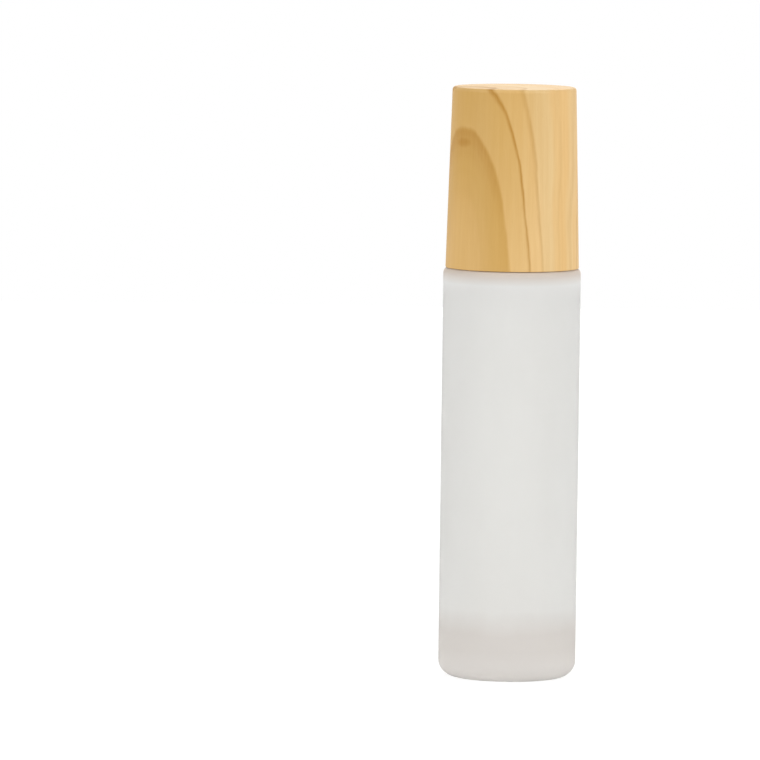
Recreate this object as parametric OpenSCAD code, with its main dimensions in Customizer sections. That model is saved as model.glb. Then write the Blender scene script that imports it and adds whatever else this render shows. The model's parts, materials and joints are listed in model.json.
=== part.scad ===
// Roll-on bottle of about 10 ml: a thick frosted glass bottle, a ball holder pressed into its neck,
// a roller ball, and a screw cap made of a wood-grain shell, a moulded liner and a soft sealing pad.
// Millimetres. +Z is up along the bottle's axis, and the origin is the centre of the base.

/* [Glass bottle] */
// Outside diameter of the glass body
body_d = 20; // [18:0.5:26]
// Height of the body from the table to the flat of the shoulder
body_h = 59.7; // [40:0.1:110]
// Thickness of the side wall
wall_t = 2; // [1.4:0.1:2.4]
// Thickness of the glass floor at its middle
floor_t = 6.4; // [3:0.2:9]
// Thickness of the glass over the cavity at the shoulder
shoulder_t = 1.6; // [1.2:0.1:4]
// Radius of the rounded heel
heel_r = 2.4; // [1:0.1:3]
// Radius of the rounded shoulder edge
shoulder_r = 0.8; // [0.3:0.1:1.2]
// Radius of the cavity's bottom corner
cavity_floor_r = 3.5; // [2:0.1:4.5]
// Radius of the cavity under the shoulder
cavity_top_r = 2.2; // [1.2:0.1:2.4]
// Radius where the cavity turns up into the neck
cavity_neck_r = 0.8; // [0.3:0.1:1]
// Height of the hollow under the base
push_up_h = 0.9; // [0.3:0.1:1.5]
// Width of the flat ring that the bottle stands on
standing_ring_w = 1; // [0.5:0.1:2]

/* [Neck] */
// Height of the neck above the shoulder
neck_h = 13.5; // [12:0.1:16]
// Bore of the neck
bore_d = 10; // [9:0.2:11.8]
// Wall of the neck between the threads
neck_t = 1.2; // [0.9:0.1:1.5]
// Height of the glass thread over the neck
thread_h = 0.7; // [0.5:0.05:0.9]
// How far the transfer bead under the thread stands out
neck_bead_w = 0.5; // [0.3:0.05:0.6]
// Height of the transfer bead
neck_bead_h = 1; // [0.8:0.1:1.6]
// Height of the bead's foot above the shoulder
neck_bead_z = 1.1; // [0.8:0.1:1.6]
// Radius of the neck's rounded rim and foot
neck_edge_r = 0.5; // [0.2:0.1:0.6]

/* [Roller ball] */
// Diameter of the ball
ball_d = 9.2; // [8.4:0.1:10.6]
// Running clearance between the ball and its socket
ball_gap = 0.05; // [0.03:0.01:0.1]
// Height of the ball's centre above the flange of its holder
ball_rise = 2.1; // [1.8:0.1:2.6]

/* [Ball holder] */
// Height of the retaining lip above the ball's centre
lip_h = 1.9; // [1.4:0.1:2.2]
// Wall of the collar round the ball
collar_t = 0.85; // [0.6:0.05:1]
// Wall of the collar at its lip
lip_t = 0.5; // [0.4:0.05:0.7]
// Width of the flange that rests on the neck's rim
flange_w = 1.1; // [0.8:0.1:1.3]
// Thickness of the flange
flange_t = 1; // [0.7:0.1:1.5]
// Length of the plug inside the neck
plug_l = 9; // [7:0.2:10]
// Wall of the plug
plug_t = 1.2; // [1:0.05:1.4]
// Clearance between the plug and the bore of the neck
plug_gap = 0.06; // [0.04:0.01:0.1]
// Number of sealing beads round the plug
seal_count = 3; // [2:1:4]
// Bite of each sealing bead into the bore of the neck
seal_bite = 0.08; // [0.04:0.01:0.12]
// Radius of each sealing bead
seal_r = 0.35; // [0.3:0.05:0.5]
// Diameter of the feed hole under the ball
feed_d = 6; // [5:0.2:7]
// Thickness of the web between the plug's bore and the socket
web_t = 0.9; // [0.7:0.1:1.3]
// Number of feed channels in the socket
channel_count = 6; // [3:1:8]
// Width of each feed channel
channel_w = 0.9; // [0.6:0.1:1.2]
// Depth of each feed channel
channel_depth = 0.35; // [0.2:0.05:0.4]

/* [Sealing pad] */
// Thickness of the pad
pad_t = 1.5; // [1:0.1:2]
// Gap between the ball and the pad
pad_gap = 0.2; // [0.1:0.05:0.3]
// Play of the pad in its pocket
pad_play = 0.1; // [0.06:0.01:0.15]

/* [Cap liner] */
// Clearance between the glass thread and the liner
thread_gap = 0.15; // [0.1:0.05:0.3]
// Wall of the threaded skirt
liner_t = 0.5; // [0.4:0.05:0.7]
// Room between the ball's collar and the crown round it
collar_room = 0.8; // [0.4:0.1:1]
// Wall of the crown round the pad
crown_t = 0.8; // [0.6:0.05:1]
// Thickness of the liner's roof
liner_roof_t = 1; // [0.7:0.1:1.5]
// Height of the ring that bears on the shell's roof
stop_ring_h = 0.9; // [0.5:0.1:1.2]
// Outside diameter of that ring
stop_ring_d = 9; // [6:0.5:12]
// Width of that ring
stop_ring_w = 1.2; // [0.8:0.1:2]
// Height that the liner's foot is set back in the shell
liner_recess = 0.3; // [0.1:0.1:0.8]
// Number of grip ribs between the liner and the shell
rib_count = 16; // [8:1:24]
// Width of each grip rib
rib_w = 0.8; // [0.5:0.1:1.2]
// Bite of the grip ribs into the shell
rib_bite = 0.03; // [0.01:0.01:0.05]
// How far the retaining bead stands into the pad's pocket
pad_bead_r = 0.25; // [0.18:0.01:0.3]

/* [Cap shell] */
// Width of the ledge of glass that shows round the cap's foot
cap_ledge = 0.3; // [0.1:0.1:0.5]
// Wall of the shell
shell_t = 0.7; // [0.6:0.05:1]
// Thickness of the shell's roof
shell_roof_t = 1.4; // [1:0.1:2]
// Draft of the shell's side, in degrees
cap_draft = 1.56; // [0.5:0.1:2]
// Gap between the cap's foot and the shoulder
cap_gap = 0.1; // [0.1:0.1:0.6]
// Radius of the shell's top edge
cap_top_r = 0.5; // [0.2:0.1:0.9]
// Radius of the shell's foot
cap_foot_r = 0.2; // [0.1:0.05:0.4]

/* [Hidden] */
$fn = 96;
arc_steps = 8;
overrun = 1;

// Shares that set an outline from the sizes beside them
channel_top_share = 0.22;
plug_chamfer_share = 0.35;
lip_round_share = 0.5;
seal_span_share = 0.62;
rib_lead_share = 0.5;

// Bottle
body_r = body_d / 2;
cavity_r = body_r - wall_t;
cavity_z = push_up_h + floor_t;
cavity_top = body_h - shoulder_t;
push_up_r = body_r - heel_r - standing_ring_w;
push_up_sphere_r = (push_up_r * push_up_r + push_up_h * push_up_h) / (2 * push_up_h);
bore_r = bore_d / 2;
neck_r = bore_r + neck_t;
neck_top = body_h + neck_h;

// Ball and holder
ball_r = ball_d / 2;
socket_r = ball_r + ball_gap;
flange_top = neck_top + flange_t;
ball_z = flange_top + ball_rise;
lip_z = ball_z + lip_h;
lip_r = sqrt(socket_r * socket_r - lip_h * lip_h);
plug_r = bore_r - plug_gap;
plug_bore_r = plug_r - plug_t;
plug_foot = neck_top - plug_l;
feed_r = feed_d / 2;
throat_z = ball_z - sqrt(socket_r * socket_r - feed_r * feed_r);
web_z = throat_z - web_t;
collar_r = socket_r + collar_t;
flange_r = bore_r + flange_w;

// Cap, from the thread outwards and from the ball upwards
liner_bore_r = neck_r + thread_h + thread_gap;
liner_r = liner_bore_r + liner_t;
cap_foot_outer_r = body_r - cap_ledge;
shell_bore_r = cap_foot_outer_r - shell_t;
rib_h = shell_bore_r - liner_r;
pocket_r = collar_r + collar_room;
pad_r = pocket_r - pad_play;
crown_r = pocket_r + crown_t;
cap_foot_z = body_h + cap_gap;
liner_foot_z = cap_foot_z + liner_recess;
skirt_top = flange_top + liner_t;
crown_step = abs(liner_bore_r - pocket_r);
pad_z = ball_z + ball_r + pad_gap;
liner_roof_z = pad_z + pad_t + pad_play;
liner_top = liner_roof_z + liner_roof_t;
shell_roof_z = liner_top + stop_ring_h;
cap_top = shell_roof_z + shell_roof_t;

// Points along an arc about [x, z], from one angle to another
function arc(x, z, r, from, to) =
    [for (i = [0:arc_steps]) let (a = from + (to - from) * i / arc_steps) [x + r * cos(a), z + r * sin(a)]];

// Radius of a drafted side that starts at foot_r over the cap's foot
function drafted(foot_r, z) = foot_r - (z - cap_foot_z) * tan(cap_draft);

// A ring whose section is a full circle
module bead_ring(ring_r, section_r, z) {
    translate([0, 0, z])
        rotate_extrude()
            translate([ring_r, 0])
                circle(r = section_r);
}

// Glass bottle: one piece of glass from the push-up under its base to the rim of its neck
module bottle_outside() {
    rotate_extrude()
        polygon(concat(
            [[0, 0]],
            arc(body_r - heel_r, heel_r, heel_r, -90, 0),
            arc(body_r - shoulder_r, body_h - shoulder_r, shoulder_r, 0, 90),
            arc(neck_r + neck_edge_r, body_h + neck_edge_r, neck_edge_r, 270, 180),
            arc(neck_r - neck_edge_r, neck_top - neck_edge_r, neck_edge_r, 0, 90),
            [[0, neck_top]]
        ));
}

module transfer_bead() {
    round_r = neck_bead_h / 2;
    translate([0, 0, body_h + neck_bead_z])
        rotate_extrude()
            polygon(concat(
                [[bore_r + neck_t / 2, 0]],
                arc(neck_r + neck_bead_w - round_r, round_r, round_r, -90, 90),
                [[bore_r + neck_t / 2, neck_bead_h]]
            ));
}

module bottle_cavity() {
    top_r = min(cavity_top_r, cavity_r - bore_r - cavity_neck_r);
    rotate_extrude()
        polygon(concat(
            [[0, cavity_z]],
            arc(cavity_r - cavity_floor_r, cavity_z + cavity_floor_r, cavity_floor_r, -90, 0),
            arc(cavity_r - top_r, cavity_top - top_r, top_r, 0, 90),
            arc(bore_r + cavity_neck_r, cavity_top + cavity_neck_r, cavity_neck_r, 270, 180),
            [[bore_r, cavity_top + shoulder_t], [0, cavity_top + shoulder_t]]
        ));
    translate([0, 0, body_h - overrun / 2])
        cylinder(r = bore_r, h = neck_h + overrun);
}

module push_up() {
    intersection() {
        translate([0, 0, push_up_h - push_up_sphere_r])
            sphere(r = push_up_sphere_r);
        translate([0, 0, -overrun])
            cylinder(r = push_up_r, h = push_up_h + overrun);
    }
}

module glass_bottle() {
    color([0.88, 0.88, 0.87, 0.6])
        difference() {
            union() {
                bottle_outside();
                transfer_bead();
            }
            bottle_cavity();
            push_up();
        }
}

// Ball holder: a plug with sealing beads, a flange, and a collar that snaps over the ball
module holder_outside() {
    chamfer = plug_t * plug_chamfer_share;
    lip_round = lip_t * lip_round_share;
    lip_outer_r = lip_r + lip_t;
    rotate_extrude()
        polygon(concat(
            [[0, plug_foot], [plug_r - chamfer, plug_foot], [plug_r, plug_foot + chamfer]],
            [[plug_r, neck_top], [flange_r, neck_top], [flange_r, flange_top]],
            [[collar_r, flange_top], [collar_r, ball_z]],
            arc(lip_outer_r - lip_round, lip_z - lip_round, lip_round, 0, 90),
            [[0, lip_z]]
        ));
}

module sealing_beads() {
    span = plug_l * seal_span_share;
    first_z = plug_foot + (plug_l - span) / 2;
    for (i = [0:seal_count - 1])
        bead_ring(bore_r + seal_bite - seal_r, seal_r, first_z + span * i / (seal_count - 1));
}

module plug_bore() {
    cone_h = plug_bore_r - feed_r;
    rotate_extrude()
        polygon([
            [0, plug_foot - overrun],
            [plug_bore_r, plug_foot - overrun],
            [plug_bore_r, web_z - cone_h],
            [feed_r, web_z],
            [feed_r, ball_z],
            [0, ball_z]
        ]);
}

module feed_channels() {
    top_z = ball_z - socket_r * channel_top_share;
    intersection() {
        translate([0, 0, ball_z])
            sphere(r = socket_r + channel_depth);
        for (i = [0:channel_count - 1])
            rotate([0, 0, 360 * i / channel_count])
                translate([0, -channel_w / 2, web_z])
                    cube([socket_r + channel_depth, channel_w, top_z - web_z]);
    }
}

module ball_holder() {
    color([0.95, 0.95, 0.93])
        difference() {
            union() {
                holder_outside();
                sealing_beads();
            }
            translate([0, 0, ball_z])
                sphere(r = socket_r);
            plug_bore();
            feed_channels();
        }
}

// Roller ball: a plain steel ball
module roller_ball() {
    color([0.78, 0.79, 0.8])
        translate([0, 0, ball_z])
            sphere(r = ball_r);
}

// Sealing pad: a soft disc that lies in the liner's crown over the ball
module sealing_pad() {
    color([0.96, 0.96, 0.95])
        translate([0, 0, pad_z])
            cylinder(r = pad_r, h = pad_t);
}

// Cap liner: threaded skirt, crown, roof, and the ribs that grip the shell
module liner_outside() {
    rotate_extrude()
        polygon([
            [0, liner_foot_z],
            [liner_r, liner_foot_z],
            [liner_r, skirt_top],
            [crown_r, skirt_top + abs(liner_r - crown_r)],
            [crown_r, liner_top],
            [0, liner_top]
        ]);
}

module liner_hollow() {
    rotate_extrude()
        polygon([
            [0, liner_foot_z - overrun],
            [liner_bore_r, liner_foot_z - overrun],
            [liner_bore_r, skirt_top],
            [pocket_r, skirt_top + crown_step],
            [pocket_r, liner_roof_z],
            [0, liner_roof_z]
        ]);
}

module stop_ring() {
    translate([0, 0, liner_top - liner_roof_t / 2])
        difference() {
            cylinder(d = stop_ring_d, h = stop_ring_h + liner_roof_t / 2);
            translate([0, 0, liner_roof_t / 2])
                cylinder(d = stop_ring_d - 2 * stop_ring_w, h = stop_ring_h + overrun);
        }
}

module grip_ribs() {
    lead = rib_h * rib_lead_share;
    inside_r = crown_r - crown_t / 2;
    ribs_h = liner_top - liner_foot_z;
    difference() {
        intersection() {
            rotate_extrude()
                polygon([
                    [0, liner_foot_z],
                    [drafted(shell_bore_r, liner_foot_z) + rib_bite, liner_foot_z],
                    [drafted(shell_bore_r, liner_top - lead) + rib_bite, liner_top - lead],
                    [drafted(shell_bore_r, liner_top - lead) - lead, liner_top],
                    [0, liner_top]
                ]);
            for (i = [0:rib_count - 1])
                rotate([0, 0, 360 * i / rib_count])
                    translate([inside_r, -rib_w / 2, liner_foot_z])
                        cube([shell_bore_r, rib_w, ribs_h]);
        }
        rotate_extrude()
            polygon([
                [0, liner_foot_z - overrun],
                [liner_bore_r + liner_t / 2, liner_foot_z - overrun],
                [liner_bore_r + liner_t / 2, skirt_top],
                [crown_r - crown_t / 2, skirt_top + crown_step],
                [crown_r - crown_t / 2, liner_roof_z],
                [0, liner_roof_z]
            ]);
    }
}

module pad_bead() {
    bead_ring(pocket_r + crown_t / 2 - pad_bead_r, crown_t / 2, pad_z - pad_play - crown_t / 2);
}

module cap_liner() {
    color([0.93, 0.93, 0.91])
        union() {
            difference() {
                union() {
                    liner_outside();
                    stop_ring();
                }
                liner_hollow();
            }
            pad_bead();
            grip_ribs();
        }
}

// Cap shell: a drafted cup with a rounded top edge and a wood-grain finish
module cap_shell() {
    top_outer_r = drafted(cap_foot_outer_r, cap_top);
    roof_r = drafted(shell_bore_r, shell_roof_z);
    color([0.86, 0.69, 0.43])
        difference() {
            rotate_extrude()
                polygon(concat(
                    [[0, cap_foot_z]],
                    arc(cap_foot_outer_r - cap_foot_r, cap_foot_z + cap_foot_r, cap_foot_r, -90, 0),
                    arc(top_outer_r - cap_top_r, cap_top - cap_top_r, cap_top_r, 0, 90),
                    [[0, cap_top]]
                ));
            rotate_extrude()
                polygon([
                    [0, cap_foot_z - overrun],
                    [drafted(shell_bore_r, cap_foot_z - overrun), cap_foot_z - overrun],
                    [roof_r, shell_roof_z],
                    [0, shell_roof_z]
                ]);
        }
}

glass_bottle();
ball_holder();
roller_ball();
sealing_pad();
cap_liner();
cap_shell();
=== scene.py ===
# The looks of a roll-on bottle: thick frosted glass with a moulded thread, a ball holder with its steel
# ball, and a screw cap made of a wood-grain shell, a threaded liner and a foam pad.
# Outlines are in millimetres, as (radius, height) about the bottle's axis. Objects are in metres.
import json
import math

import bmesh
import bpy
from mathutils import Matrix, Vector, noise

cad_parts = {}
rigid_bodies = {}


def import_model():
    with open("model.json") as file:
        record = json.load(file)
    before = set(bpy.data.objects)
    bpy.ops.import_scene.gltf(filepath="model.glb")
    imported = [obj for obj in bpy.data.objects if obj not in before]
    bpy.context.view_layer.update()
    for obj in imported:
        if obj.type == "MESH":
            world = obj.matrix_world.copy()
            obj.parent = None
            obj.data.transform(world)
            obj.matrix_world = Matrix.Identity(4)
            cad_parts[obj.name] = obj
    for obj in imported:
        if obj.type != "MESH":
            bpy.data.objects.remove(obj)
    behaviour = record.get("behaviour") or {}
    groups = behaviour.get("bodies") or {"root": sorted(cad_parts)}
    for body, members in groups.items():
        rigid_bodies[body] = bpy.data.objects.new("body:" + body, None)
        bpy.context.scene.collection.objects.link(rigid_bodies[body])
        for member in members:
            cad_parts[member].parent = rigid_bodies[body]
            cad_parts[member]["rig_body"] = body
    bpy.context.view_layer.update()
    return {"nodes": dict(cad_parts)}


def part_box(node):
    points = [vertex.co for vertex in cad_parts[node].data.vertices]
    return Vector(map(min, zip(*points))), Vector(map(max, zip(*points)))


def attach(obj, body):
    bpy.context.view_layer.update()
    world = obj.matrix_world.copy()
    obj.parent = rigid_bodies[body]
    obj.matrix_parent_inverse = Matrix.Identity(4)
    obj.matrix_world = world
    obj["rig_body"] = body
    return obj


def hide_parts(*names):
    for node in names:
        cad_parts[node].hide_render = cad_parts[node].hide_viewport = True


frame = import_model()

MM = 0.001
TAU = 2 * math.pi

# How finely the meshes are made
SEGMENTS = 192
ARC_STEP = math.radians(11)
LEAST_STEPS = 3
BEAD_STEPS = 8
DOME_STEPS = 10
SOCKET_STEPS = 30
THREAD_STEP = 0.1
CAVITY_STEP = 1.5
FOAM_STEP = 0.2
HOLD_SHARE = 0.15
SAME_POINT = 1e-4

# Sizes of the glass that the boxes don't give
NECK_H = 13.5
NECK_T = 1.2
NECK_EDGE_R = 0.5
RIM_INNER_R = 0.3
BEAD_W = 0.5
BEAD_H = 1.0
BEAD_Z = 1.1
WALL_T = 2.0
FLOOR_T = 6.4
SHOULDER_T = 1.6
HEEL_R = 2.4
SHOULDER_R = 0.8
CAVITY_FLOOR_R = 3.5
CAVITY_TOP_R = 2.2
CAVITY_NECK_R = 0.8
PUSH_UP_H = 0.9
PUSH_UP_EDGE_R = 0.3
STANDING_RING_W = 1.0
WAVE_H = 0.07

# The thread that the neck and the liner share
LEAD = 2.5
THREAD_H = 0.7
THREAD_TURNS = 1.75
THREAD_FOOT = 6.2
THREAD_BASE = 0.95
THREAD_CREST = 0.25
THREAD_RUN_IN = 0.09
THREAD_START = math.radians(200)
LINER_THREAD_H = 0.62
LINER_THREAD_TURNS = 2.1
LINER_THREAD_EARLY = 0.75
LINER_THREAD_BASE = 0.8
LINER_THREAD_CREST = 0.2

# Sizes of the ball holder
FLANGE_W = 1.1
FLANGE_T = 1.0
PLUG_GAP = 0.06
PLUG_T = 1.2
PLUG_CHAMFER = 0.42
SEAL_COUNT = 3
SEAL_R = 0.35
SEAL_BITE = 0.08
SEAL_SPAN_SHARE = 0.62
BALL_GAP = 0.05
COLLAR_T = 0.85
LIP_T = 0.5
FEED_R = 3.0
WEB_T = 0.9
CHANNEL_COUNT = 6
CHANNEL_W = 0.9
CHANNEL_DEPTH = 0.35
CHANNEL_TOP_SHARE = 0.22
CHANNEL_EDGE = 0.12

# Sizes of the pad. Its swell and its grain are features per millimetre
PAD_EDGE_R = 0.35
PAD_DISH = 0.15
PAD_DISH_EDGE = 1.3
PAD_UNEVEN = 0.03
PAD_SWELL = 0.9
PAD_GRAIN = 3
PAD_GRAIN_FALL = 3

# Sizes of the cap
THREAD_GAP = 0.15
LINER_T = 0.5
PAD_PLAY = 0.1
CROWN_T = 0.8
LINER_ROOF_T = 1.0
STOP_RING_R = 4.5
STOP_RING_W = 1.2
STOP_RING_H = 0.9
RIB_COUNT = 16
RIB_W = 0.8
RIB_BITE = 0.03
RIB_FLANK = 0.004
PAD_BEAD_R = 0.25
SHELL_T = 0.7
SHELL_ROOF_T = 1.4
CAP_DRAFT = math.tan(math.radians(1.56))
CAP_TOP_EDGE_R = 0.5
CAP_FOOT_EDGE_R = 0.05
CAP_SETTLE = 0.07
MOULDED_EDGE_R = 0.12


def box_mm(node):
    low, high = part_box(node)
    return low / MM, high / MM


# Sizes that follow from the frame
glass_high = box_mm("glass_bottle")[1]
holder_low, holder_high = box_mm("ball_holder")
ball_low, ball_high = box_mm("roller_ball")
pad_low, pad_high = box_mm("sealing_pad")
liner_low, liner_high = box_mm("cap_liner")
shell_low, shell_high = box_mm("cap_shell")

body_r = glass_high.x
neck_top = glass_high.z
body_h = neck_top - NECK_H
bore_r = holder_high.x - FLANGE_W
neck_r = bore_r + NECK_T
cavity_r = body_r - WALL_T
cavity_z = PUSH_UP_H + FLOOR_T
cavity_top = body_h - SHOULDER_T
push_up_r = body_r - HEEL_R - STANDING_RING_W
ball_r = ball_high.x
ball_z = (ball_low.z + ball_high.z) / 2
socket_r = ball_r + BALL_GAP
liner_bore_r = neck_r + THREAD_H + THREAD_GAP
liner_r = liner_bore_r + LINER_T
pocket_r = pad_high.x + PAD_PLAY
crown_r = pocket_r + CROWN_T
skirt_top = neck_top + FLANGE_T + LINER_T
crown_foot = skirt_top + abs(liner_bore_r - pocket_r)
liner_top = liner_high.z - STOP_RING_H
liner_roof_z = liner_top - LINER_ROOF_T
shell_bore_r = shell_high.x - SHELL_T
shell_roof_z = shell_high.z - SHELL_ROOF_T


# Outlines

def arc(r, z, radius, start, end, steps):
    """Corners along an arc about (r, z), from one angle in degrees to another."""
    angles = [math.radians(start + (end - start) * i / steps) for i in range(steps + 1)]
    return [(r + radius * math.cos(a), z + radius * math.sin(a), 0) for a in angles]


def bump(wall_r, z, centre_r, radius, side):
    """Corners of a bead whose round section stands out of a wall: side is 1 outwards and -1 inwards."""
    half = math.degrees(math.acos(abs(wall_r - centre_r) / radius))
    if side > 0:
        return arc(centre_r, z, radius, -half, half, BEAD_STEPS)
    return arc(centre_r, z, radius, 180 + half, 180 - half, BEAD_STEPS)


def rounded_corner(before, at, after, radius):
    """Points of the arc that rounds a corner, with one more on each side that keeps the flats flat."""
    u, v = (before - at).normalized(), (after - at).normalized()
    half = u.angle(v) / 2
    reach = radius / math.tan(half)
    centre = at + (u + v).normalized() * radius / math.sin(half)
    first, last = at + u * reach - centre, at + v * reach - centre
    turn = math.pi - 2 * half
    steps = max(LEAST_STEPS, math.ceil(turn / ARC_STEP))
    points = []
    for i in range(steps + 1):
        share = turn * i / steps
        reached = first * math.sin(turn - share) + last * math.sin(share)
        points.append(centre + reached / math.sin(turn))
    hold = radius * HOLD_SHARE
    if reach + hold < (before - at).length / 2:
        points.insert(0, at + u * (reach + hold))
    if reach + hold < (after - at).length / 2:
        points.append(at + v * (reach + hold))
    return points


def outline(stretches, fine=None, closed=False):
    """Points (radius, height, stretch) through the corners (radius, height, fillet) of named stretches.
    A stretch named in fine gets a point at least every so many millimetres."""
    corners = [(Vector(c[:2]), c[2], name) for name, listed in stretches for c in listed]
    rough = []
    for i, (at, fillet, name) in enumerate(corners):
        inner = closed or 0 < i < len(corners) - 1
        if fillet and inner:
            before, after = corners[i - 1][0], corners[(i + 1) % len(corners)][0]
            rough += [(p, name) for p in rounded_corner(before, at, after, fillet)]
        else:
            rough.append((at, name))
    points = []
    for i, (at, name) in enumerate(rough):
        if points and (at - points[-1][0]).length < SAME_POINT:
            points[-1] = (at, name)
            continue
        points.append((at, name))
        following = rough[i + 1][0] if i + 1 < len(rough) else at
        if fine and name in fine:
            count = math.ceil((following - at).length / fine[name])
            points += [(at.lerp(following, k / count), name) for k in range(1, count)]
    return [(p.x, p.y, name) for p, name in points]


# Meshes

def turned(name, points, relief=None, slots=None, angles=None, closed=False):
    """A mesh turned about the axis from an outline. relief moves the points of a stretch as
    relief[stretch](radius, height, angle) says, and slots gives a stretch another material slot."""
    relief, slots = relief or {}, slots or {}
    angles = angles or [TAU * i / SEGMENTS for i in range(SEGMENTS)]
    mesh = bmesh.new()
    rings = []
    for r, z, stretch in points:
        if r < SAME_POINT:
            rings.append([mesh.verts.new((0, 0, z * MM))])
            continue
        ring = []
        for a in angles:
            ra, za = relief[stretch](r, z, a) if stretch in relief else (r, z)
            ring.append(mesh.verts.new((ra * math.cos(a) * MM, ra * math.sin(a) * MM, za * MM)))
        rings.append(ring)
    pairs = list(zip(rings, rings[1:] + rings[:1], points))
    for ring, following, point in pairs if closed else pairs[:-1]:
        for i in range(len(angles)):
            k = (i + 1) % len(angles)
            if len(ring) == 1:
                corners = (ring[0], following[k], following[i])
            elif len(following) == 1:
                corners = (ring[i], ring[k], following[0])
            else:
                corners = (ring[i], ring[k], following[k], following[i])
            face = mesh.faces.new(corners)
            face.material_index = slots.get(point[2], 0)
            face.smooth = True
    bmesh.ops.recalc_face_normals(mesh, faces=mesh.faces)
    data = bpy.data.meshes.new(name)
    mesh.to_mesh(data)
    mesh.free()
    piece = bpy.data.objects.new(name, data)
    bpy.context.scene.collection.objects.link(piece)
    return piece


def finish_piece(piece, node, slot, *materials):
    """Puts a piece in the place of its CAD node, on that node's body."""
    for material in materials:
        piece.data.materials.append(material)
    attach(piece, frame["nodes"][node]["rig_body"])
    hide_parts(node)
    return piece


def smooth(x):
    """0 below 0, 1 above 1, and a smooth step between them."""
    x = min(max(x, 0.0), 1.0)
    return x * x * (3 - 2 * x)


def thread(z, angle, start, start_z, turns, base, crest):
    """How much of its height a helical ridge has at a place: start and start_z are where it begins."""
    first = ((angle - start) / TAU) % 1
    height = 0.0
    for k in range(math.ceil(turns)):
        along = first + k
        if along > turns:
            break
        ends = smooth(min(along, turns - along) / THREAD_RUN_IN)
        off = abs(z - start_z - LEAD * along)
        height = max(height, ends * smooth((base * ends - off) / (base - crest)) if ends else 0.0)
    return height


# Frosted glass bottle

def neck_thread(r, z, angle):
    start_z = body_h + THREAD_FOOT + BEAD_W
    share = thread(z, angle, THREAD_START, start_z, THREAD_TURNS, THREAD_BASE, THREAD_CREST)
    return r + THREAD_H * share, z


def cavity_wave(r, z, angle):
    """The cavity's wall is a little uneven, as blown glass is."""
    fade = smooth((cavity_top - z) / CAVITY_FLOOR_R) * smooth((z - cavity_z) / CAVITY_FLOOR_R)
    place = Vector((math.cos(angle), math.sin(angle), z / body_r))
    return r + WAVE_H * fade * noise.noise(place), z


def push_up():
    """Corners of the shallow dome under the base, from the axis to the standing ring."""
    dome_r = (push_up_r ** 2 + PUSH_UP_H ** 2) / (2 * PUSH_UP_H)
    reach = math.degrees(math.asin(push_up_r / dome_r))
    dome = arc(0, PUSH_UP_H - dome_r, dome_r, 90, 90 - reach, DOME_STEPS)
    return dome[:-1] + [(push_up_r, 0, PUSH_UP_EDGE_R)]


def glass_bottle():
    """One piece of glass, frosted outside and smooth inside, with its thread on the neck."""
    bead_foot = body_h + BEAD_Z
    bead_mid = bead_foot + BEAD_H / 2
    points = outline(
        [
            ("frosted", push_up() + [
                (body_r, 0, HEEL_R),
                (body_r, body_h, SHOULDER_R),
                (neck_r, body_h, NECK_EDGE_R),
            ] + bump(neck_r, bead_mid, neck_r + BEAD_W - BEAD_H / 2, BEAD_H / 2, 1)),
            ("neck", [(neck_r, bead_foot + BEAD_H + BEAD_W, 0)]),
            ("rim", [(neck_r, neck_top, NECK_EDGE_R)]),
            ("inside", [
                (bore_r, neck_top, RIM_INNER_R),
                (bore_r, cavity_top, CAVITY_NECK_R),
            ]),
            ("cavity", [
                (cavity_r, cavity_top, CAVITY_TOP_R),
                (cavity_r, cavity_z, CAVITY_FLOOR_R),
                (0, cavity_z, 0),
            ]),
        ],
        fine={"neck": THREAD_STEP, "cavity": CAVITY_STEP},
    )
    piece = turned(
        "bottle_glass",
        points,
        relief={"neck": neck_thread, "cavity": cavity_wave},
        slots={"inside": 1, "cavity": 1},
    )
    return finish_piece(piece, "glass_bottle", "frosted_glass", frosted_glass(), smooth_glass())


# Ball holder

def feed_channel(r, z, angle):
    """The channels in the socket let the liquid climb beside the ball."""
    pitch = TAU / CHANNEL_COUNT
    off = abs((angle + pitch / 2) % pitch - pitch / 2)
    across = smooth((CHANNEL_W / 2 + CHANNEL_EDGE / 2 - r * math.sin(off)) / CHANNEL_EDGE)
    top = ball_z - socket_r * CHANNEL_TOP_SHARE
    deeper = 1 + CHANNEL_DEPTH * across * smooth((top - z) / CHANNEL_EDGE) / socket_r
    return r * deeper, ball_z + (z - ball_z) * deeper


def sealing_beads(plug_r):
    plug_l = neck_top - holder_low.z
    span = plug_l * SEAL_SPAN_SHARE
    first_z = holder_low.z + (plug_l - span) / 2
    heights = [first_z + span * i / (SEAL_COUNT - 1) for i in range(SEAL_COUNT)]
    return [c for z in heights for c in bump(plug_r, z, bore_r + SEAL_BITE - SEAL_R, SEAL_R, 1)]


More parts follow.
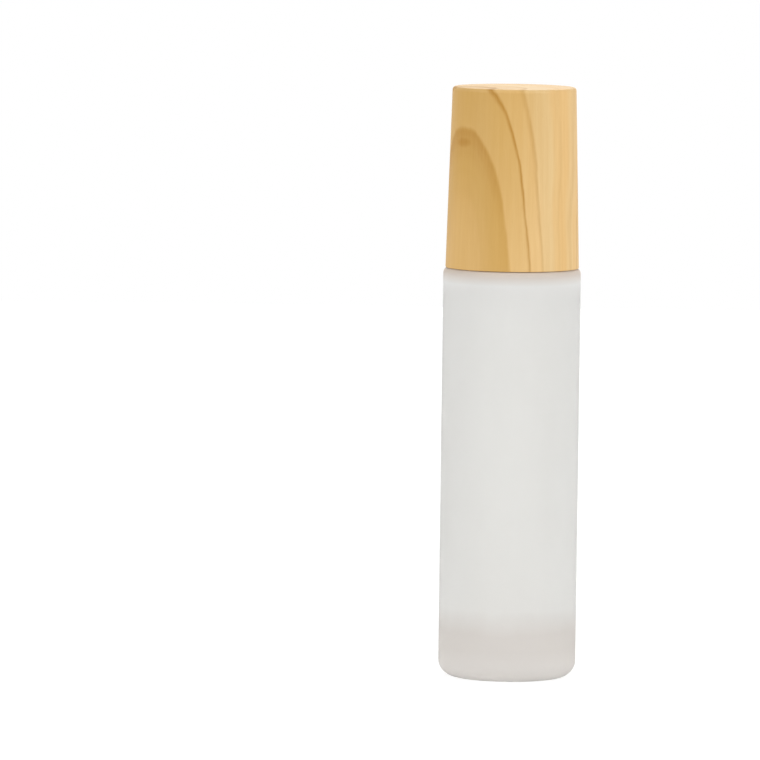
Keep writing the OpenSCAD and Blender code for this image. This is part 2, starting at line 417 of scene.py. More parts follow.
def ball_holder():
    """A plug with sealing beads, a flange on the neck's rim, and a collar with the ball's socket."""
    plug_r = bore_r - PLUG_GAP
    plug_bore_r = plug_r - PLUG_T
    plug_foot, lip_z, flange_r = holder_low.z, holder_high.z, holder_high.x
    lip_angle = math.degrees(math.asin((lip_z - ball_z) / socket_r))
    throat_angle = -math.degrees(math.acos(FEED_R / socket_r))
    throat_z = ball_z - math.sqrt(socket_r ** 2 - FEED_R ** 2)
    web_z = throat_z - WEB_T
    lip_r = math.sqrt(socket_r ** 2 - (lip_z - ball_z) ** 2)
    collar_r = socket_r + COLLAR_T
    edge = MOULDED_EDGE_R
    points = outline(
        [
            ("plug", [
                (plug_bore_r, plug_foot, edge),
                (plug_r - PLUG_CHAMFER, plug_foot, edge),
                (plug_r, plug_foot + PLUG_CHAMFER, edge),
            ] + sealing_beads(plug_r) + [
                (plug_r, neck_top, edge / 2),
                (flange_r, neck_top, edge),
                (flange_r, neck_top + FLANGE_T, edge * 2),
                (collar_r, neck_top + FLANGE_T, edge * 2),
                (collar_r, ball_z, edge * 2),
                (lip_r + LIP_T, lip_z, LIP_T / 2),
            ]),
            ("socket", arc(0, ball_z, socket_r, lip_angle, throat_angle, SOCKET_STEPS)),
            ("feed", [
                (FEED_R, web_z, edge),
                (plug_bore_r, web_z - (plug_bore_r - FEED_R), edge),
            ]),
        ],
        closed=True,
    )
    piece = turned("ball_holder_moulding", points, relief={"socket": feed_channel}, closed=True)
    return finish_piece(piece, "ball_holder", "natural_plastic", natural_plastic())


# Roller ball

def roller_ball():
    """The ball keeps the shape of its solid."""
    frame["nodes"]["roller_ball"].material_slots[0].material = polished_steel()


# Sealing pad

def foam_surface(r, z, angle):
    """The foam's faces are a little uneven, and the lower one keeps the print of the ball."""
    place = Vector((r * math.cos(angle), r * math.sin(angle), z))
    fine = noise.noise(place * PAD_GRAIN) / PAD_GRAIN_FALL
    rise = PAD_UNEVEN * (noise.noise(place * PAD_SWELL) + fine)
    middle = (pad_low.z + pad_high.z) / 2
    if z < middle:
        print_r = math.sqrt(2 * ball_r * PAD_DISH)
        rise = abs(rise) + PAD_DISH * smooth(PAD_DISH_EDGE - r / print_r)
    else:
        rise = -abs(rise)
    return r, z + rise


def sealing_pad():
    points = outline(
        [
            ("face", [
                (0, pad_high.z, 0),
                (pad_high.x, pad_high.z, PAD_EDGE_R),
            ]),
            ("underside", [
                (pad_high.x, pad_low.z, PAD_EDGE_R),
                (0, pad_low.z, 0),
            ]),
        ],
        fine={"face": FOAM_STEP, "underside": FOAM_STEP},
    )
    piece = turned("pad_foam", points, relief={"face": foam_surface, "underside": foam_surface})
    finish_piece(piece, "sealing_pad", "foam", foam())
    return piece


# Cap liner

def liner_thread(r, z, angle):
    """The liner's ridge lies half a lead under the neck's, and starts that much earlier."""
    start = THREAD_START - TAU * LINER_THREAD_EARLY
    start_z = body_h + THREAD_FOOT + BEAD_W - LEAD * (LINER_THREAD_EARLY + 0.5)
    share = thread(z, angle, start, start_z, LINER_THREAD_TURNS, LINER_THREAD_BASE, LINER_THREAD_CREST)
    return r - LINER_THREAD_H * share, z


def shell_bore_at(z):
    return shell_bore_r - (z - shell_low.z) * CAP_DRAFT


def grip_rib(r, z, angle):
    """Ribs round the liner reach the shell's bore, with a lead-in at their top."""
    pitch = TAU / RIB_COUNT
    off = abs((angle + pitch / 2) % pitch - pitch / 2)
    if off > rib_half_angle():
        return r, z
    lead = (shell_bore_r - liner_r) / 2
    return max(r, shell_bore_at(z) + RIB_BITE - max(0, z - liner_top + lead)), z


def rib_half_angle():
    return RIB_W / (shell_bore_r + liner_r)


def ribbed_angles():
    """Even steps, with two more at each flank of each rib."""
    even = [TAU * i / SEGMENTS for i in range(SEGMENTS)]
    offs = [side * rib_half_angle() + step for side in (-1, 1) for step in (-RIB_FLANK, RIB_FLANK)]
    flanks = [(TAU * i / RIB_COUNT + off) % TAU for i in range(RIB_COUNT) for off in offs]
    return sorted(even + flanks)


def cap_liner():
    """A threaded skirt and a crown that holds the pad, with ribs round both and a ring on the roof."""
    edge = MOULDED_EDGE_R
    bead_z = pad_low.z - PAD_PLAY - CROWN_T / 2
    points = outline(
        [
            ("roof", [
                (0, liner_top, 0),
                (STOP_RING_R - STOP_RING_W, liner_top, edge),
                (STOP_RING_R - STOP_RING_W, liner_high.z, edge),
                (STOP_RING_R, liner_high.z, edge),
                (STOP_RING_R, liner_top, edge),
            ]),
            ("ribs", [
                (crown_r, liner_top, edge),
                (crown_r, skirt_top + abs(liner_r - crown_r), edge),
                (liner_r, skirt_top, edge),
                (liner_r, liner_low.z, edge),
            ]),
            ("foot", [(liner_bore_r, liner_low.z, edge)]),
            ("thread", [
                (liner_bore_r, liner_low.z + LINER_T, 0),
                (liner_bore_r, skirt_top, edge * 2),
            ]),
            ("pocket", [
                (pocket_r, crown_foot, edge * 2),
            ] + bump(pocket_r, bead_z, pocket_r + CROWN_T / 2 - PAD_BEAD_R, CROWN_T / 2, -1) + [
                (pocket_r, liner_roof_z, edge),
                (0, liner_roof_z, 0),
            ]),
        ],
        fine={"thread": THREAD_STEP},
    )
    piece = turned(
        "cap_liner_moulding",
        points,
        relief={"ribs": grip_rib, "thread": liner_thread},
        angles=ribbed_angles(),
    )
    return finish_piece(piece, "cap_liner", "white_plastic", white_plastic())


# Cap shell

def cap_shell():
    """Its foot comes down nearly to the glass, as on a closed bottle."""
    foot_z = shell_low.z - CAP_SETTLE
    rise = shell_high.z - shell_low.z
    points = outline(
        [
            ("outside", [
                (0, shell_high.z, 0),
                (shell_high.x - rise * CAP_DRAFT, shell_high.z, CAP_TOP_EDGE_R),
                (shell_high.x, foot_z, CAP_FOOT_EDGE_R),
            ]),
            ("inside", [
                (shell_bore_r, foot_z, CAP_FOOT_EDGE_R),
                (shell_bore_at(shell_roof_z), shell_roof_z, CAP_TOP_EDGE_R),
                (0, shell_roof_z, 0),
            ]),
        ],
    )
    piece = turned("cap_shell_wood_grain", points, slots={"inside": 1})
    return finish_piece(piece, "cap_shell", "wood_grain", wood_grain(), shell_inside())


# Shader fields

# The colour sockets of a mix node, which share their names with others
MIX_FIRST = 6
MIX_SECOND = 7
MIX_RESULT = 2

NOISE_MIDDLE = 0.5


class Field:
    """A number that shader nodes work out at each point. Sums and products of fields are fields."""

    def __init__(self, tree, socket):
        self.tree = tree
        self.socket = socket

    def math(self, operation, *values):
        node = self.tree.nodes.new("ShaderNodeMath")
        node.operation = operation
        for socket, value in zip(node.inputs, values):
            feed(self.tree, socket, value)
        return Field(self.tree, node.outputs[0])

    def __add__(self, other):
        return self.math("ADD", self, other)

    def __radd__(self, other):
        return self.math("ADD", other, self)

    def __sub__(self, other):
        return self.math("SUBTRACT", self, other)

    def __rsub__(self, other):
        return self.math("SUBTRACT", other, self)

    def __mul__(self, other):
        return self.math("MULTIPLY", self, other)

    def __rmul__(self, other):
        return self.math("MULTIPLY", other, self)

    def __truediv__(self, other):
        return self.math("DIVIDE", self, other)

    def __pow__(self, other):
        return self.math("POWER", self, other)

    def at_least(self, other):
        return self.math("MAXIMUM", self, other)

    def at_most(self, other):
        return self.math("MINIMUM", self, other)

    def held(self):
        """The field kept between 0 and 1."""
        return self.at_least(0.0).at_most(1.0)

    def swing(self, width):
        """A noise from 0 to 1 made into one of a width about 0."""
        return (self - NOISE_MIDDLE) * width


def feed(tree, socket, value):
    """Links a field to a socket, or sets the socket to a plain value."""
    if isinstance(value, Field):
        tree.links.new(value.socket, socket)
    else:
        socket.default_value = value


def coordinates(tree):
    """The place on the object at rest, in millimetres, as three fields."""
    source = tree.nodes.new("ShaderNodeTexCoord")
    split = tree.nodes.new("ShaderNodeSeparateXYZ")
    tree.links.new(source.outputs["Object"], split.inputs[0])
    return [Field(tree, output) / MM for output in split.outputs]


def texture_at(place, scales, kind):
    """A texture node at a place, with so many features per millimetre along X, Y and Z."""
    tree = place[0].tree
    join = tree.nodes.new("ShaderNodeCombineXYZ")
    for socket, axis, scale in zip(join.inputs, place, scales):
        feed(tree, socket, axis * scale)
    node = tree.nodes.new(kind)
    tree.links.new(join.outputs[0], node.inputs["Vector"])
    node.inputs["Scale"].default_value = 1.0
    return node


def noise_at(place, scales, detail=2.0, roughness=0.5):
    """A noise field from 0 to 1."""
    node = texture_at(place, scales, "ShaderNodeTexNoise")
    node.inputs["Detail"].default_value = detail
    node.inputs["Roughness"].default_value = roughness
    return Field(place[0].tree, node.outputs["Fac"])


def cells_at(place, scales):
    """The distance to the nearest of scattered points."""
    node = texture_at(place, scales, "ShaderNodeTexVoronoi")
    return Field(place[0].tree, node.outputs["Distance"])


def grey(value):
    return value, value, value, 1


def ramp(field, stops):
    """The value that the stops (place, value) give for a field from 0 to 1."""
    node = field.tree.nodes.new("ShaderNodeValToRGB")
    feed(field.tree, node.inputs[0], field)
    node.color_ramp.interpolation = "EASE"
    while len(node.color_ramp.elements) < len(stops):
        node.color_ramp.elements.new(1.0)
    for element, (place, value) in zip(node.color_ramp.elements, stops):
        element.position = place
        element.color = grey(value)
    return Field(field.tree, node.outputs[0])


def blend(share, first, second):
    """A colour between two colours or colour fields, at a share from 0 to 1."""
    node = share.tree.nodes.new("ShaderNodeMix")
    node.data_type = "RGBA"
    feed(share.tree, node.inputs[0], share)
    for socket, value in ((MIX_FIRST, first), (MIX_SECOND, second)):
        feed(share.tree, node.inputs[socket], value if isinstance(value, Field) else (*value, 1))
    return Field(share.tree, node.outputs[MIX_RESULT])


def bump_of(height, depth_mm):
    """Normals of a relief that is depth_mm deep where the height goes from 0 to 1."""
    node = height.tree.nodes.new("ShaderNodeBump")
    node.inputs["Strength"].default_value = 1.0
    node.inputs["Distance"].default_value = depth_mm * MM
    feed(height.tree, node.inputs["Height"], height)
    return Field(height.tree, node.outputs[0])


def material(name):
    """A new material, and the place that its textures vary over."""
    made = bpy.data.materials.new(name)
    made.use_nodes = True
    return made, coordinates(made.node_tree)


def finish_shader(made, base, roughness, normal, **others):
    """Feeds the shader what varies over the surface, and sets what is the same all over it."""
    shader = made.node_tree.nodes["Principled BSDF"]
    sockets = {"Base Color": base, "Roughness": roughness, "Normal": normal}
    sockets.update({name.replace("_", " "): value for name, value in others.items()})
    for name, value in sockets.items():
        feed(made.node_tree, shader.inputs[name], value)
    return made


# Frosted glass. Heights, fades and depths are in millimetres. Scales are features per millimetre along
# X, Y and Z, and a gloss is how far a noise makes the roughness vary.

GLASS_PALE = (0.938, 0.935, 0.914)
GLASS_CLOUDED = (0.898, 0.893, 0.868)
# Darker over the thick floor: partly the thick glass's own look, partly painted shade where the bottle
# stands
GLASS_THICK_AND_SHADED = (0.778, 0.742, 0.706)
# Painted light: the glass is lighter near the heel, where less lamp light reaches it
GLASS_HEEL_PAINTED_LIGHT = (0.89, 0.86, 0.83)
# Painted shade and painted reflection of the cap: warm, darker glass at the shoulder's rounded edge
GLASS_PAINTED_CAP_SHADE = (0.70, 0.61, 0.53)
GLASS_IOR = 1.5
# How high the thick floor's darker colour, partly painted shade, reaches, how it fades and how uneven
# its edge is
THICK_RISE = 3.1
THICK_FADE = 3.6
THICK_UNEVEN = 2.0
# The height over which the heel's painted light fades
PAINTED_HEEL_LIGHT_H = 4.5
# Where the cap's painted shade lies: a band under the shoulder, with its fades downwards and inwards
SHOULDER_BAND = 0.5
SHOULDER_FADE = 1.6
LEDGE_FADE = 2.2
# Painted light: the glass is paler over this height under the shoulder, against the cap's shade inside
# it
PAINTED_TOP_LIGHT_H = 12.0
CLEARNESS = 0.42
ETCHED_H = 4.0
ETCHED_MORE = 0.3
ETCHED_ROUGHNESS = 0.68
CLOUD_SCALES = (0.16, 0.16, 0.1)
CLOUD_GLOSS = 0.1
ETCH_SCALES = (9, 9, 9)
ETCH_GLOSS = 0.12
ETCH_DEPTH = 0.02
INSIDE_ROUGHNESS = 0.1
INSIDE_SCALES = (0.2, 0.2, 0.08)
INSIDE_GLOSS = 0.06
INSIDE_DEPTH = 0.1


def frosted_glass():
    """Milky where it is etched, most of all under the shoulder, and paler towards its top as painted
    light against the cap's shade inside it. It is darker over the thick floor, partly as thick glass
    and partly as painted shade, with painted light at the heel. Its shoulder's rounded edge has a warm
    painted shade and painted reflection of the cap."""
    made, place = material("frosted_glass_outside")
    x, y, z = place
    cloud = noise_at(place, CLOUD_SCALES)
    grain = noise_at(place, ETCH_SCALES, detail=3.0, roughness=0.6)
    # Darker over the thick floor: partly thick glass, partly painted shade
    thick = ((cavity_z + THICK_RISE + cloud.swing(THICK_UNEVEN) - z) / THICK_FADE).held()
    # Mask of the cap's painted shade and painted reflection at the shoulder's rounded edge
    near_top = (z - body_h + SHOULDER_BAND + SHOULDER_FADE) / SHOULDER_FADE
    at_edge = ((x ** 2 + y ** 2) ** 0.5 - body_r + SHOULDER_R + LEDGE_FADE) / LEDGE_FADE
    shoulder = near_top.held() * at_edge.held()
    # Painted light towards the top, against the shade of the cap
    paler = ((z - body_h + PAINTED_TOP_LIGHT_H) / PAINTED_TOP_LIGHT_H).held()
    milky = blend((cloud - paler).at_least(0.0), GLASS_PALE, GLASS_CLOUDED)
    # Painted light at the heel, over the thick floor's darker colour
    thick_shade_and_heel_light = blend(((PAINTED_HEEL_LIGHT_H - z) / PAINTED_HEEL_LIGHT_H).at_least(0.0), GLASS_THICK_AND_SHADED, GLASS_HEEL_PAINTED_LIGHT)
    etched = ((z - body_h + ETCHED_H) / ETCHED_H).held()
    return finish_shader(
        made,
        blend(shoulder, blend(thick, milky, thick_shade_and_heel_light), GLASS_PAINTED_CAP_SHADE),
        ETCHED_ROUGHNESS + cloud.swing(CLOUD_GLOSS) + grain.swing(ETCH_GLOSS),
        bump_of(grain, ETCH_DEPTH),
        Transmission_Weight=CLEARNESS - etched * ETCHED_MORE,
        IOR=GLASS_IOR,
    )


def smooth_glass():
    made, place = material("smooth_glass_inside")
    cloud = noise_at(place, INSIDE_SCALES)
    return finish_shader(
        made,
        blend(cloud, GLASS_PALE, GLASS_CLOUDED),
        INSIDE_ROUGHNESS + cloud * INSIDE_GLOSS,
        bump_of(cloud, INSIDE_DEPTH),
        Transmission_Weight=1.0,
        IOR=GLASS_IOR,
    )


# Moulded plastics

def moulded(name, colours, roughness, flow, flow_gloss, skin, skin_gloss, skin_depth, **others):
    """A moulding has broad flow marks in its colour and gloss, and a fine skin. flow and skin are the
    scales of the two."""
    made, place = material(name)
    marks = noise_at(place, flow, detail=3.0)
    fine = noise_at(place, skin)
    return finish_shader(
        made,
        blend(marks, *colours),
        roughness + marks.swing(flow_gloss) + fine.swing(skin_gloss),
        bump_of(fine, skin_depth),
        **others,
    )


def natural_plastic():
    return moulded(
        "natural_polyethylene",
        colours=((0.90, 0.90, 0.885), (0.83, 0.83, 0.81)),
        roughness=0.34,
        flow=(0.5, 0.5, 0.35),
        flow_gloss=0.12,
        skin=(14, 14, 14),
        skin_gloss=0.1,
        skin_depth=0.006,
        Subsurface_Weight=0.35,
        Subsurface_Radius=(1.0, 1.0, 0.9),
        Subsurface_Scale=0.0012,
    )


def white_plastic():
    return moulded(
        "moulded_polypropylene",
        colours=((0.88, 0.88, 0.855), (0.80, 0.80, 0.775)),
        roughness=0.4,
        flow=(0.35, 0.35, 0.2),
        flow_gloss=0.14,
        skin=(12, 12, 12),
        skin_gloss=0.12,
        skin_depth=0.008,
        Subsurface_Weight=0.12,
        Subsurface_Radius=(1.0, 0.95, 0.85),
        Subsurface_Scale=0.0008,
    )


def shell_inside():
    return moulded(
        "cap_shell_inside",
        colours=((0.80, 0.62, 0.36), (0.74, 0.55, 0.30)),
        roughness=0.45,
        flow=(0.3, 0.3, 0.15),
        flow_gloss=0.14,
        skin=(12, 12, 12),
        skin_gloss=0.12,
        skin_depth=0.008,
    )


# Steel and foam

STEEL_BRIGHT = (0.80, 0.80, 0.81)
STEEL_SMEARED = (0.72, 0.72, 0.735)
STEEL_ROUGHNESS = 0.06
SMEAR_SCALES = (0.45, 0.45, 0.45)
SMEAR_GLOSS = 0.1
HAIRLINE_SCALES = (2, 26, 26)
HAIRLINE_GLOSS = 0.05
HAIRLINE_DEPTH = 0.0015
# Painted shade: the foam is darker in its cells' hollows than on their walls
FOAM_HOLLOW_PAINTED_SHADE = (0.80, 0.80, 0.775)
FOAM_WALL = (0.92, 0.92, 0.90)
FOAM_ROUGHNESS = 0.82
FOAM_SHEEN = 0.08
TINT_SCALES = (0.6, 0.6, 0.6)
TINT_GLOSS = 0.2
CELL_SCALES = (3.6, 3.6, 3.6)
CELL_EDGE = 1.1
CELL_DEPTH = 0.07


def polished_steel():
    made, place = material("polished_steel")
    smear = noise_at(place, SMEAR_SCALES, detail=3.0)
    hairline = noise_at(place, HAIRLINE_SCALES)
    return finish_shader(
        made,
        blend(smear, STEEL_BRIGHT, STEEL_SMEARED),
        STEEL_ROUGHNESS + smear * SMEAR_GLOSS + hairline.swing(HAIRLINE_GLOSS),
        bump_of(hairline, HAIRLINE_DEPTH),
        Metallic=1.0,
    )


def foam():
    made, place = material("closed_cell_foam")
    # The cells' hollows get a painted shade, and the bump sinks them
    cell = cells_at(place, CELL_SCALES)
    tint = noise_at(place, TINT_SCALES)
    return finish_shader(
        made,
        blend((cell * CELL_EDGE).at_most(1.0), FOAM_HOLLOW_PAINTED_SHADE, FOAM_WALL),
        FOAM_ROUGHNESS + tint.swing(TINT_GLOSS),
        bump_of(cell, CELL_DEPTH),
        Sheen_Weight=FOAM_SHEEN,
    )


# Wood grain. Depths are in millimetres under the cap's top. Growth lines are arches about an upright
# line on the cap's side, in the photograph left of its front. An arch's half width grows with a root of
# the depth under its apex. The growth of a place is 1 on the arch whose apex is at ARCH_APEX, and the
# arches above it are wider. These drift inwards below DRIFT_FROM, and past the darkest line they close
# up downwards.
ARCH_AZIMUTH = math.radians(-53.3)
ARCH_LINE_R = 9.35
ARCH_APEX = 6.0
ARCH_WIDTH = 3.85
ARCH_ROOT = 4
ARCH_SPREAD = 0.0395
LEAST_GROWTH = 0.1
DARKEST = 1.272
DRIFT = 0.018
DRIFT_FROM = 11
DRIFT_MOST = 0.15
DRIFT_SPAN = 0.5
CLOSING = 0.024
CLOSING_FROM = 2.1
GROWTH_SPAN = 2.5

# How much of the brown heartwood there is, by growth. It is fuller above HEART_TURN than below, and by
# growth again HEART_EDGE says how much of that change shows
HEARTWOOD = [
    (0.0, 0.70), (0.4, 0.66), (0.55, 0.72), (0.68, 0.90), (0.8, 1.0), (0.97, 1.0),
    (1.02, 0.58), (1.25, 0.52), (1.3, 0.25), (1.46, 0.20), (1.52, 0.04),
]
HEART_TURN = 15
HEART_FALL = 0.03
HEART_TOP = 0.6
HEART_EDGE = [(0.0, 0.45), (1.0, 0.45), (1.02, 1.0), (1.5, 1.0), (1.8, 0.0)]

# How much peach there is in the sapwood, by growth
PEACH_WOOD = [
    (0.95, 1.0), (1.05, 0.6), (1.30, 0.6), (1.46, 0.7), (1.52, 0.1), (1.66, 0.1), (1.74, 0.75),
    (1.86, 1.0), (1.93, 0.3), (2.00, 0.3), (2.08, 0.9), (2.15, 0.4), (2.25, 0.8),
]

# Lines of late wood: the growth where each lies, its breadth before and after that, and how dark it is
LATE_WOOD = [
    (0.62, 0.20, 0.06, 0.05),
    (0.99, 0.12, 0.03, 0.16),
    (DARKEST, 0.034, 0.014, 1.00),
    (1.484, 0.055, 0.022, 0.38),
    (1.79, 0.05, 0.02, 0.10),
    (1.98, 0.07, 0.05, 0.20),
    (2.14, 0.03, 0.010, 0.75),
    (2.20, 0.02, 0.008, 0.30),
    (2.26, 0.03, 0.008, 0.60),
]

# The first arch's inner edge is darker down to a depth, and the lines get paler below another
LIMB = [(0.0, 0.0), (0.78, 0.0), (0.87, 0.3), (0.93, 0.48), (0.975, 0.58), (1.012, 0.0)]
LIMB_END = 20
LIMB_FADE = 12
PALER_FROM = 15
PALER_FALL = 0.03

# The knot under the apex lifts the arch, and beside it the arch sags
KNOT_DEPTH = 7.9
KNOT_W = 1.8
KNOT_H = 0.8
KNOT_LIFT = 0.5
KNOT_LIFT_W = 2.8
SAG = 0.9
SAG_AT = 4.5
SAG_W = 2.0
SAG_FROM = 0.8
SAG_FADE = 3.0

# Noises: their scales, and how far they shift the grain, in millimetres or in growth
WANDER_SCALES = (0.14, 0.14, 0.06)
WANDER_X = 0.9
WANDER_DEPTH = 1.4
WAVER_SCALES = (0.5, 0.5, 0.2)
WAVER_Y = 0.7
WAVER_GROWTH = 0.03
KINK_SCALES = (0.4, 0.4, 0.45)
KINK_GROWTH = 0.02
STRENGTH_SCALES = (0.3, 0.3, 0.22)
STREAK_SCALES = (1.5, 1.5, 0.035)
FIBRE_SCALES = (7, 7, 0.25)
PORE_SCALES = (11, 11, 0.7)
PORE_FROM = 0.64
PORE_STEEP = 9

# How much each of them darkens the wood, changes its hue or its gloss, or stands out
WOOD_DARKENED = 0.04
LINE_DARKENS = 0.8
LINE_UNEVEN = 0.6
LINE_FIBROUS = 0.6
KNOT_DARKENS = 0.4
FIBRE_DARKENS = 0.16
STREAK_DARKENS = 0.24
FLECK_DARKENS = 0.06
STREAK_HUE = 0.8
WOOD_ROUGHNESS = 0.5
FIBRE_GLOSS = 0.16
LINE_GLOSS = 0.06
FLECK_SUNK = 0.5
FIBRE_DEPTH = 0.012
WOOD_SPECULAR = 0.3

WOOD_PALE = (0.80, 0.565, 0.27)
WOOD_PEACH = (0.80, 0.515, 0.21)
WOOD_HEART = (0.60, 0.357, 0.095)
WOOD_DARK = (0.44, 0.208, 0.024)


def growth_at(x, y, depth):
    """The growth of a place and its distance from the arches' line. The growth is found by two Newton
    steps from an estimate that is never too high."""
    line_x = ARCH_LINE_R * math.sin(ARCH_AZIMUTH)
    line_y = -ARCH_LINE_R * math.cos(ARCH_AZIMUTH)
    off = ((x - line_x) ** 2 + (y - line_y) ** 2) ** 0.5
    lift = (1 - (off / KNOT_LIFT_W) ** 2).at_least(0.0) * KNOT_LIFT
    sag = (1 - ((off - SAG_AT) / SAG_W) ** 2).at_least(0.0) * SAG
    depth = depth + lift - sag * ((depth - SAG_FROM) / SAG_FADE).held()
    steep = (off / ARCH_WIDTH) ** ARCH_ROOT * ARCH_SPREAD
    straight = (1 + (ARCH_APEX - depth) * ARCH_SPREAD).at_least(LEAST_GROWTH)
    growth = (steep + straight ** (ARCH_ROOT + 1)) ** (1 / (ARCH_ROOT + 1))
    for _ in range(2):
        steeper = steep / growth ** ARCH_ROOT
        growth = growth + (straight + steeper - growth) / (1 + ARCH_ROOT * steeper / growth)
    past = (growth - DARKEST).at_least(0.0)
    drift = ((depth - DRIFT_FROM) * DRIFT).at_least(0.0).at_most(DRIFT_MOST)
    outside = (growth - 1).at_least(0.0).at_most(DRIFT_SPAN)
    return growth + past * (depth - CLOSING_FROM) * CLOSING + outside * drift, off


def by_growth(growth, stops):
    return ramp(growth / GROWTH_SPAN, [(place / GROWTH_SPAN, value) for place, value in stops])


def late_wood(growth):
    """How dark the late wood is: each line has a slow rise and a quick fall."""
    stops = [(0.0, 0.0)]
    for line, rise, fall, dark in LATE_WOOD:
        stops += [(line - rise, 0.0), (line, dark), (line + fall, 0.0)]
    return by_growth(growth, stops)


def growth_lines(growth, depth, strength):
    """How dark the grain's lines are, with the first arch's inner edge."""
    paler = 1 - ((depth - PALER_FROM) * PALER_FALL).at_least(0.0)
    lines = late_wood(growth) * paler * (1 + strength * LINE_UNEVEN)
    return lines + by_growth(growth, LIMB) * ((LIMB_END - depth) / LIMB_FADE).held()


def heartwood(growth, kinked, depth):
    """How much heartwood there is: its edge is kinked, its change with the depth isn't."""
    gradient = (HEART_TURN - depth) * HEART_FALL * (depth / HEART_TOP).at_most(1.0)
    return (by_growth(kinked, HEARTWOOD) + gradient * by_growth(growth, HEART_EDGE)).held()


def wood_grain():
    made, place = material("wood_grain_finish")
    x, y, z = place
    depth = shell_high.z - z
    wander = noise_at(place, WANDER_SCALES) - NOISE_MIDDLE
    waver = noise_at(place, WAVER_SCALES, detail=3.0) - NOISE_MIDDLE
    growth, off = growth_at(x + wander * WANDER_X, y + waver * WAVER_Y, depth + wander * WANDER_DEPTH)
    kinks = noise_at(place, KINK_SCALES) - NOISE_MIDDLE
    strength = noise_at(place, STRENGTH_SCALES) - NOISE_MIDDLE
    kinked = growth + waver * WAVER_GROWTH + kinks * KINK_GROWTH
    lines = growth_lines(kinked, depth, strength)
    heart = heartwood(growth, kinked, depth)
    knot = 1 - ((off / KNOT_W) ** 2 + ((depth - KNOT_DEPTH) / KNOT_H) ** 2).at_most(1.0)
    streak = noise_at(place, STREAK_SCALES, detail=3.0, roughness=0.6)
    fibre = noise_at(place, FIBRE_SCALES, detail=3.0, roughness=0.6)
    pore = noise_at(place, PORE_SCALES, detail=1.0)
    flecks = ((pore - PORE_FROM) * PORE_STEEP).held()
    dark = lines * (LINE_DARKENS + fibre.swing(LINE_FIBROUS)) + knot * KNOT_DARKENS
    dark = dark + fibre.swing(FIBRE_DARKENS) + streak.swing(STREAK_DARKENS)
    dark = dark + flecks * FLECK_DARKENS + WOOD_DARKENED
    peach = by_growth(growth, PEACH_WOOD) + streak.swing(STREAK_HUE)
    pale = blend(heart, blend(peach.held(), WOOD_PALE, WOOD_PEACH), WOOD_HEART)
    return finish_shader(
        made,
        blend(dark.held(), pale, WOOD_DARK),
        WOOD_ROUGHNESS + fibre.swing(FIBRE_GLOSS) + lines * LINE_GLOSS,
        bump_of(fibre - flecks * FLECK_SUNK, FIBRE_DEPTH),
        Specular_IOR_Level=WOOD_SPECULAR,
    )


# Stage: a plain pale floor, a white background, and soft lamps as name, place, size and power

FLOOR_HALF = 0.7
FLOOR_PALE = 0.85
FLOOR_GLOW = 0.8
FLOOR_SHADE = 0.32
FILL = 0.46
SOFT_LAMPS = [
    ("key", (1.28, -0.9, 0.85), 0.9, 14.5),
    ("fill", (-1.35, -0.8, 0.6), 1.0, 11.5),
    ("back", (0.2, 1.4, 1.2), 1.0, 10.0),
]
LAMP_TARGET = (0, 0, 0.045)


def seen_share(tree):
    """1 for rays that come straight from the camera, or from it by gloss or glass, and 0 for light."""
    path = tree.nodes.new("ShaderNodeLightPath")
    seen = Field(tree, path.outputs["Is Camera Ray"]) + Field(tree, path.outputs["Is Glossy Ray"])
    return (seen + Field(tree, path.outputs["Is Transmission Ray"])).at_most(1.0)


def mixed(tree, share, first, second):
    """A shader between two shaders."""
    node = tree.nodes.new("ShaderNodeMixShader")
    feed(tree, node.inputs[0], share)
    tree.links.new(first.outputs[0], node.inputs[1])
    tree.links.new(second.outputs[0], node.inputs[2])
    return node


def white_world():
    world = bpy.data.worlds.new("studio")
    world.use_nodes = True
    bpy.context.scene.world = world
    tree = world.node_tree
    tree.nodes.clear()
    seen = seen_share(tree)
    background = tree.nodes.new("ShaderNodeBackground")
    feed(tree, background.inputs["Strength"], FILL + seen * (1 - FILL))
    background.inputs["Color"].default_value = grey(1)
    output = tree.nodes.new("ShaderNodeOutputWorld")
    tree.links.new(background.outputs[0], output.inputs["Surface"])


def floor_material():
    """Plain pale to the lamps. To the camera most of it glows white and the rest takes the object's
    shadow. From below it is clear."""
    made = bpy.data.materials.new("studio_floor")
    made.use_nodes = True
    tree = made.node_tree
    tree.nodes.clear()
    plain = tree.nodes.new("ShaderNodeBsdfDiffuse")
    plain.inputs["Color"].default_value = grey(FLOOR_PALE)
    shaded = tree.nodes.new("ShaderNodeBsdfDiffuse")
    shaded.inputs["Color"].default_value = grey(FLOOR_SHADE)
    white = tree.nodes.new("ShaderNodeEmission")
    white.inputs["Strength"].default_value = FLOOR_GLOW
    clear = tree.nodes.new("ShaderNodeBsdfTransparent")
    output = tree.nodes.new("ShaderNodeOutputMaterial")
    shown = tree.nodes.new("ShaderNodeAddShader")
    tree.links.new(shaded.outputs[0], shown.inputs[0])
    tree.links.new(white.outputs[0], shown.inputs[1])
    above = mixed(tree, seen_share(tree), plain, shown)
    below = tree.nodes.new("ShaderNodeNewGeometry").outputs["Backfacing"]
    surface = mixed(tree, Field(tree, below), above, clear)
    tree.links.new(surface.outputs[0], output.inputs["Surface"])
    return made


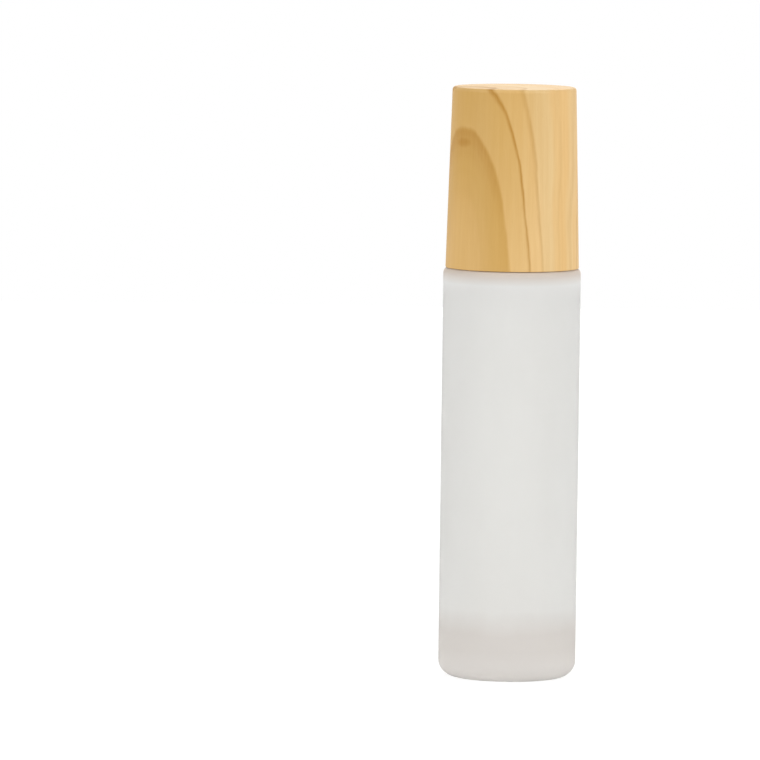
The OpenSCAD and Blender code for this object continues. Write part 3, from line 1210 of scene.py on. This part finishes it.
def studio_floor():
    mesh = bpy.data.meshes.new("studio_floor")
    corners = [(-1, -1), (1, -1), (1, 1), (-1, 1)]
    mesh.from_pydata([(x * FLOOR_HALF, y * FLOOR_HALF, 0) for x, y in corners], [], [(0, 1, 2, 3)])
    floor = bpy.data.objects.new("studio_floor", mesh)
    bpy.context.scene.collection.objects.link(floor)
    floor.data.materials.append(floor_material())


def soft_lamp(name, place, size, power):
    lamp = bpy.data.lights.new(name, "AREA")
    lamp.shape = "DISK"
    lamp.size = size
    lamp.energy = power
    made = bpy.data.objects.new(name, lamp)
    bpy.context.scene.collection.objects.link(made)
    made.location = place
    made.rotation_mode = "QUATERNION"
    made.rotation_quaternion = (Vector(LAMP_TARGET) - Vector(place)).to_track_quat("-Z", "Y")


# Camera, in millimetres: the photograph's view, where the bottle is right of the middle and leans a bit
CAMERA_AT = Vector((-19.0, -1200.0, 146.0))
CAMERA_TARGET = Vector((-19.0, 0.0, 43.04))
CAMERA_ROLL = math.radians(0.72)
FRAME_WIDTH = 110.6
SENSOR_WIDTH = 36.0
NEAREST = 10.0
FARTHEST = 100000.0


def photo_camera():
    lens = bpy.data.cameras.new("photo_camera")
    made = bpy.data.objects.new("photo_camera", lens)
    bpy.context.scene.collection.objects.link(made)
    view = CAMERA_TARGET - CAMERA_AT
    made.location = CAMERA_AT * MM
    aim = view.to_track_quat("-Z", "Y").to_matrix().to_4x4() @ Matrix.Rotation(CAMERA_ROLL, 4, "Z")
    made.rotation_mode = "QUATERNION"
    made.rotation_quaternion = aim.to_quaternion()
    lens.sensor_width = SENSOR_WIDTH
    lens.lens = SENSOR_WIDTH * view.length / FRAME_WIDTH
    lens.clip_start = NEAREST * MM
    lens.clip_end = FARTHEST * MM
    bpy.context.scene.camera = made


photo_camera()
white_world()
studio_floor()
for lamp in SOFT_LAMPS:
    soft_lamp(*lamp)

glass_bottle()
ball_holder()
roller_ball()
sealing_pad()
cap_liner()
cap_shell()

bpy.context.scene.view_settings.view_transform = "Standard"
